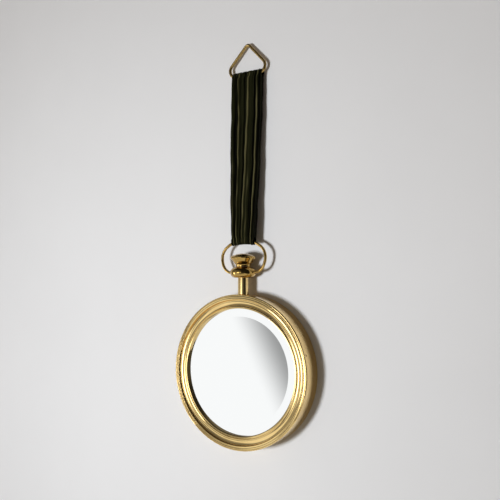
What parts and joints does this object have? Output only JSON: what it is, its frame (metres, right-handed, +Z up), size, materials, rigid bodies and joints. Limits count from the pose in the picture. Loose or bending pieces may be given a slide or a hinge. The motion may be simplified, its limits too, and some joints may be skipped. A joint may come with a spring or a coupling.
{
  "type": "hanging wall mirror",
  "caption": "Round bevelled mirror in a brass pocket-watch case with crown, collar and bow, hung from a gathered velvet strap and a wire triangle.",
  "frame": {"origin": "hang point: the underside of the wire at the hanger's apex, where the hook or nail bears", "axes": "+Z up, -Y out of the mirror face towards the viewer, +Y into the wall, +X to the viewer's right"},
  "size_m": [0.24, 0.0414, 0.6476],
  "materials": {
    "brass": "polished brass, lightly aged",
    "hanger_wire": "drawn wire, darkened",
    "velvet": "gathered dark olive velvet",
    "webbing": "woven webbing",
    "mirror": "silvered bevelled glass",
    "steel": "plain steel",
    "felt": "pressed felt",
    "hardboard": "hardboard",
    "fibre": "fibre washer"
  },
  "bodies": {
    "hanger": {"hanger_triangle": "hanger_wire"},
    "strap": {"velvet_strap": "velvet", "core_webbing": "webbing"},
    "bow": {"bow_ring": "brass"},
    "case": {"bow_bushes": "brass", "collar": "brass", "crown": "brass", "crown_washer": "fibre", "pendant_tube": "brass", "pendant_stud": "steel", "pendant_saddle": "brass", "pendant_washer": "steel", "pendant_nut": "steel", "case_drum": "brass", "bezel": "brass", "bezel_screws": "steel", "mirror_glass": "mirror", "felt_pad": "felt", "backing_board": "hardboard", "retaining_ring": "steel"}
  },
  "joints": [
    {"name": "strap_swing", "type": "hinge", "parent": "hanger", "child": "strap", "pos_m": [0, -0.00178, -0.04747], "axis": [1, 0, 0], "range_deg": [-75, 75]},
    {"name": "bow_swing", "type": "hinge", "parent": "strap", "child": "bow", "pos_m": [0, -0.01195, -0.31888], "axis": [1, 0, 0], "range_deg": [-70, 70]},
    {"name": "case_swing", "type": "hinge", "parent": "bow", "child": "case", "pos_m": [0, -0.0138, -0.3684], "axis": [1, 0, 0], "range_deg": [-85, 85]}
  ]
}
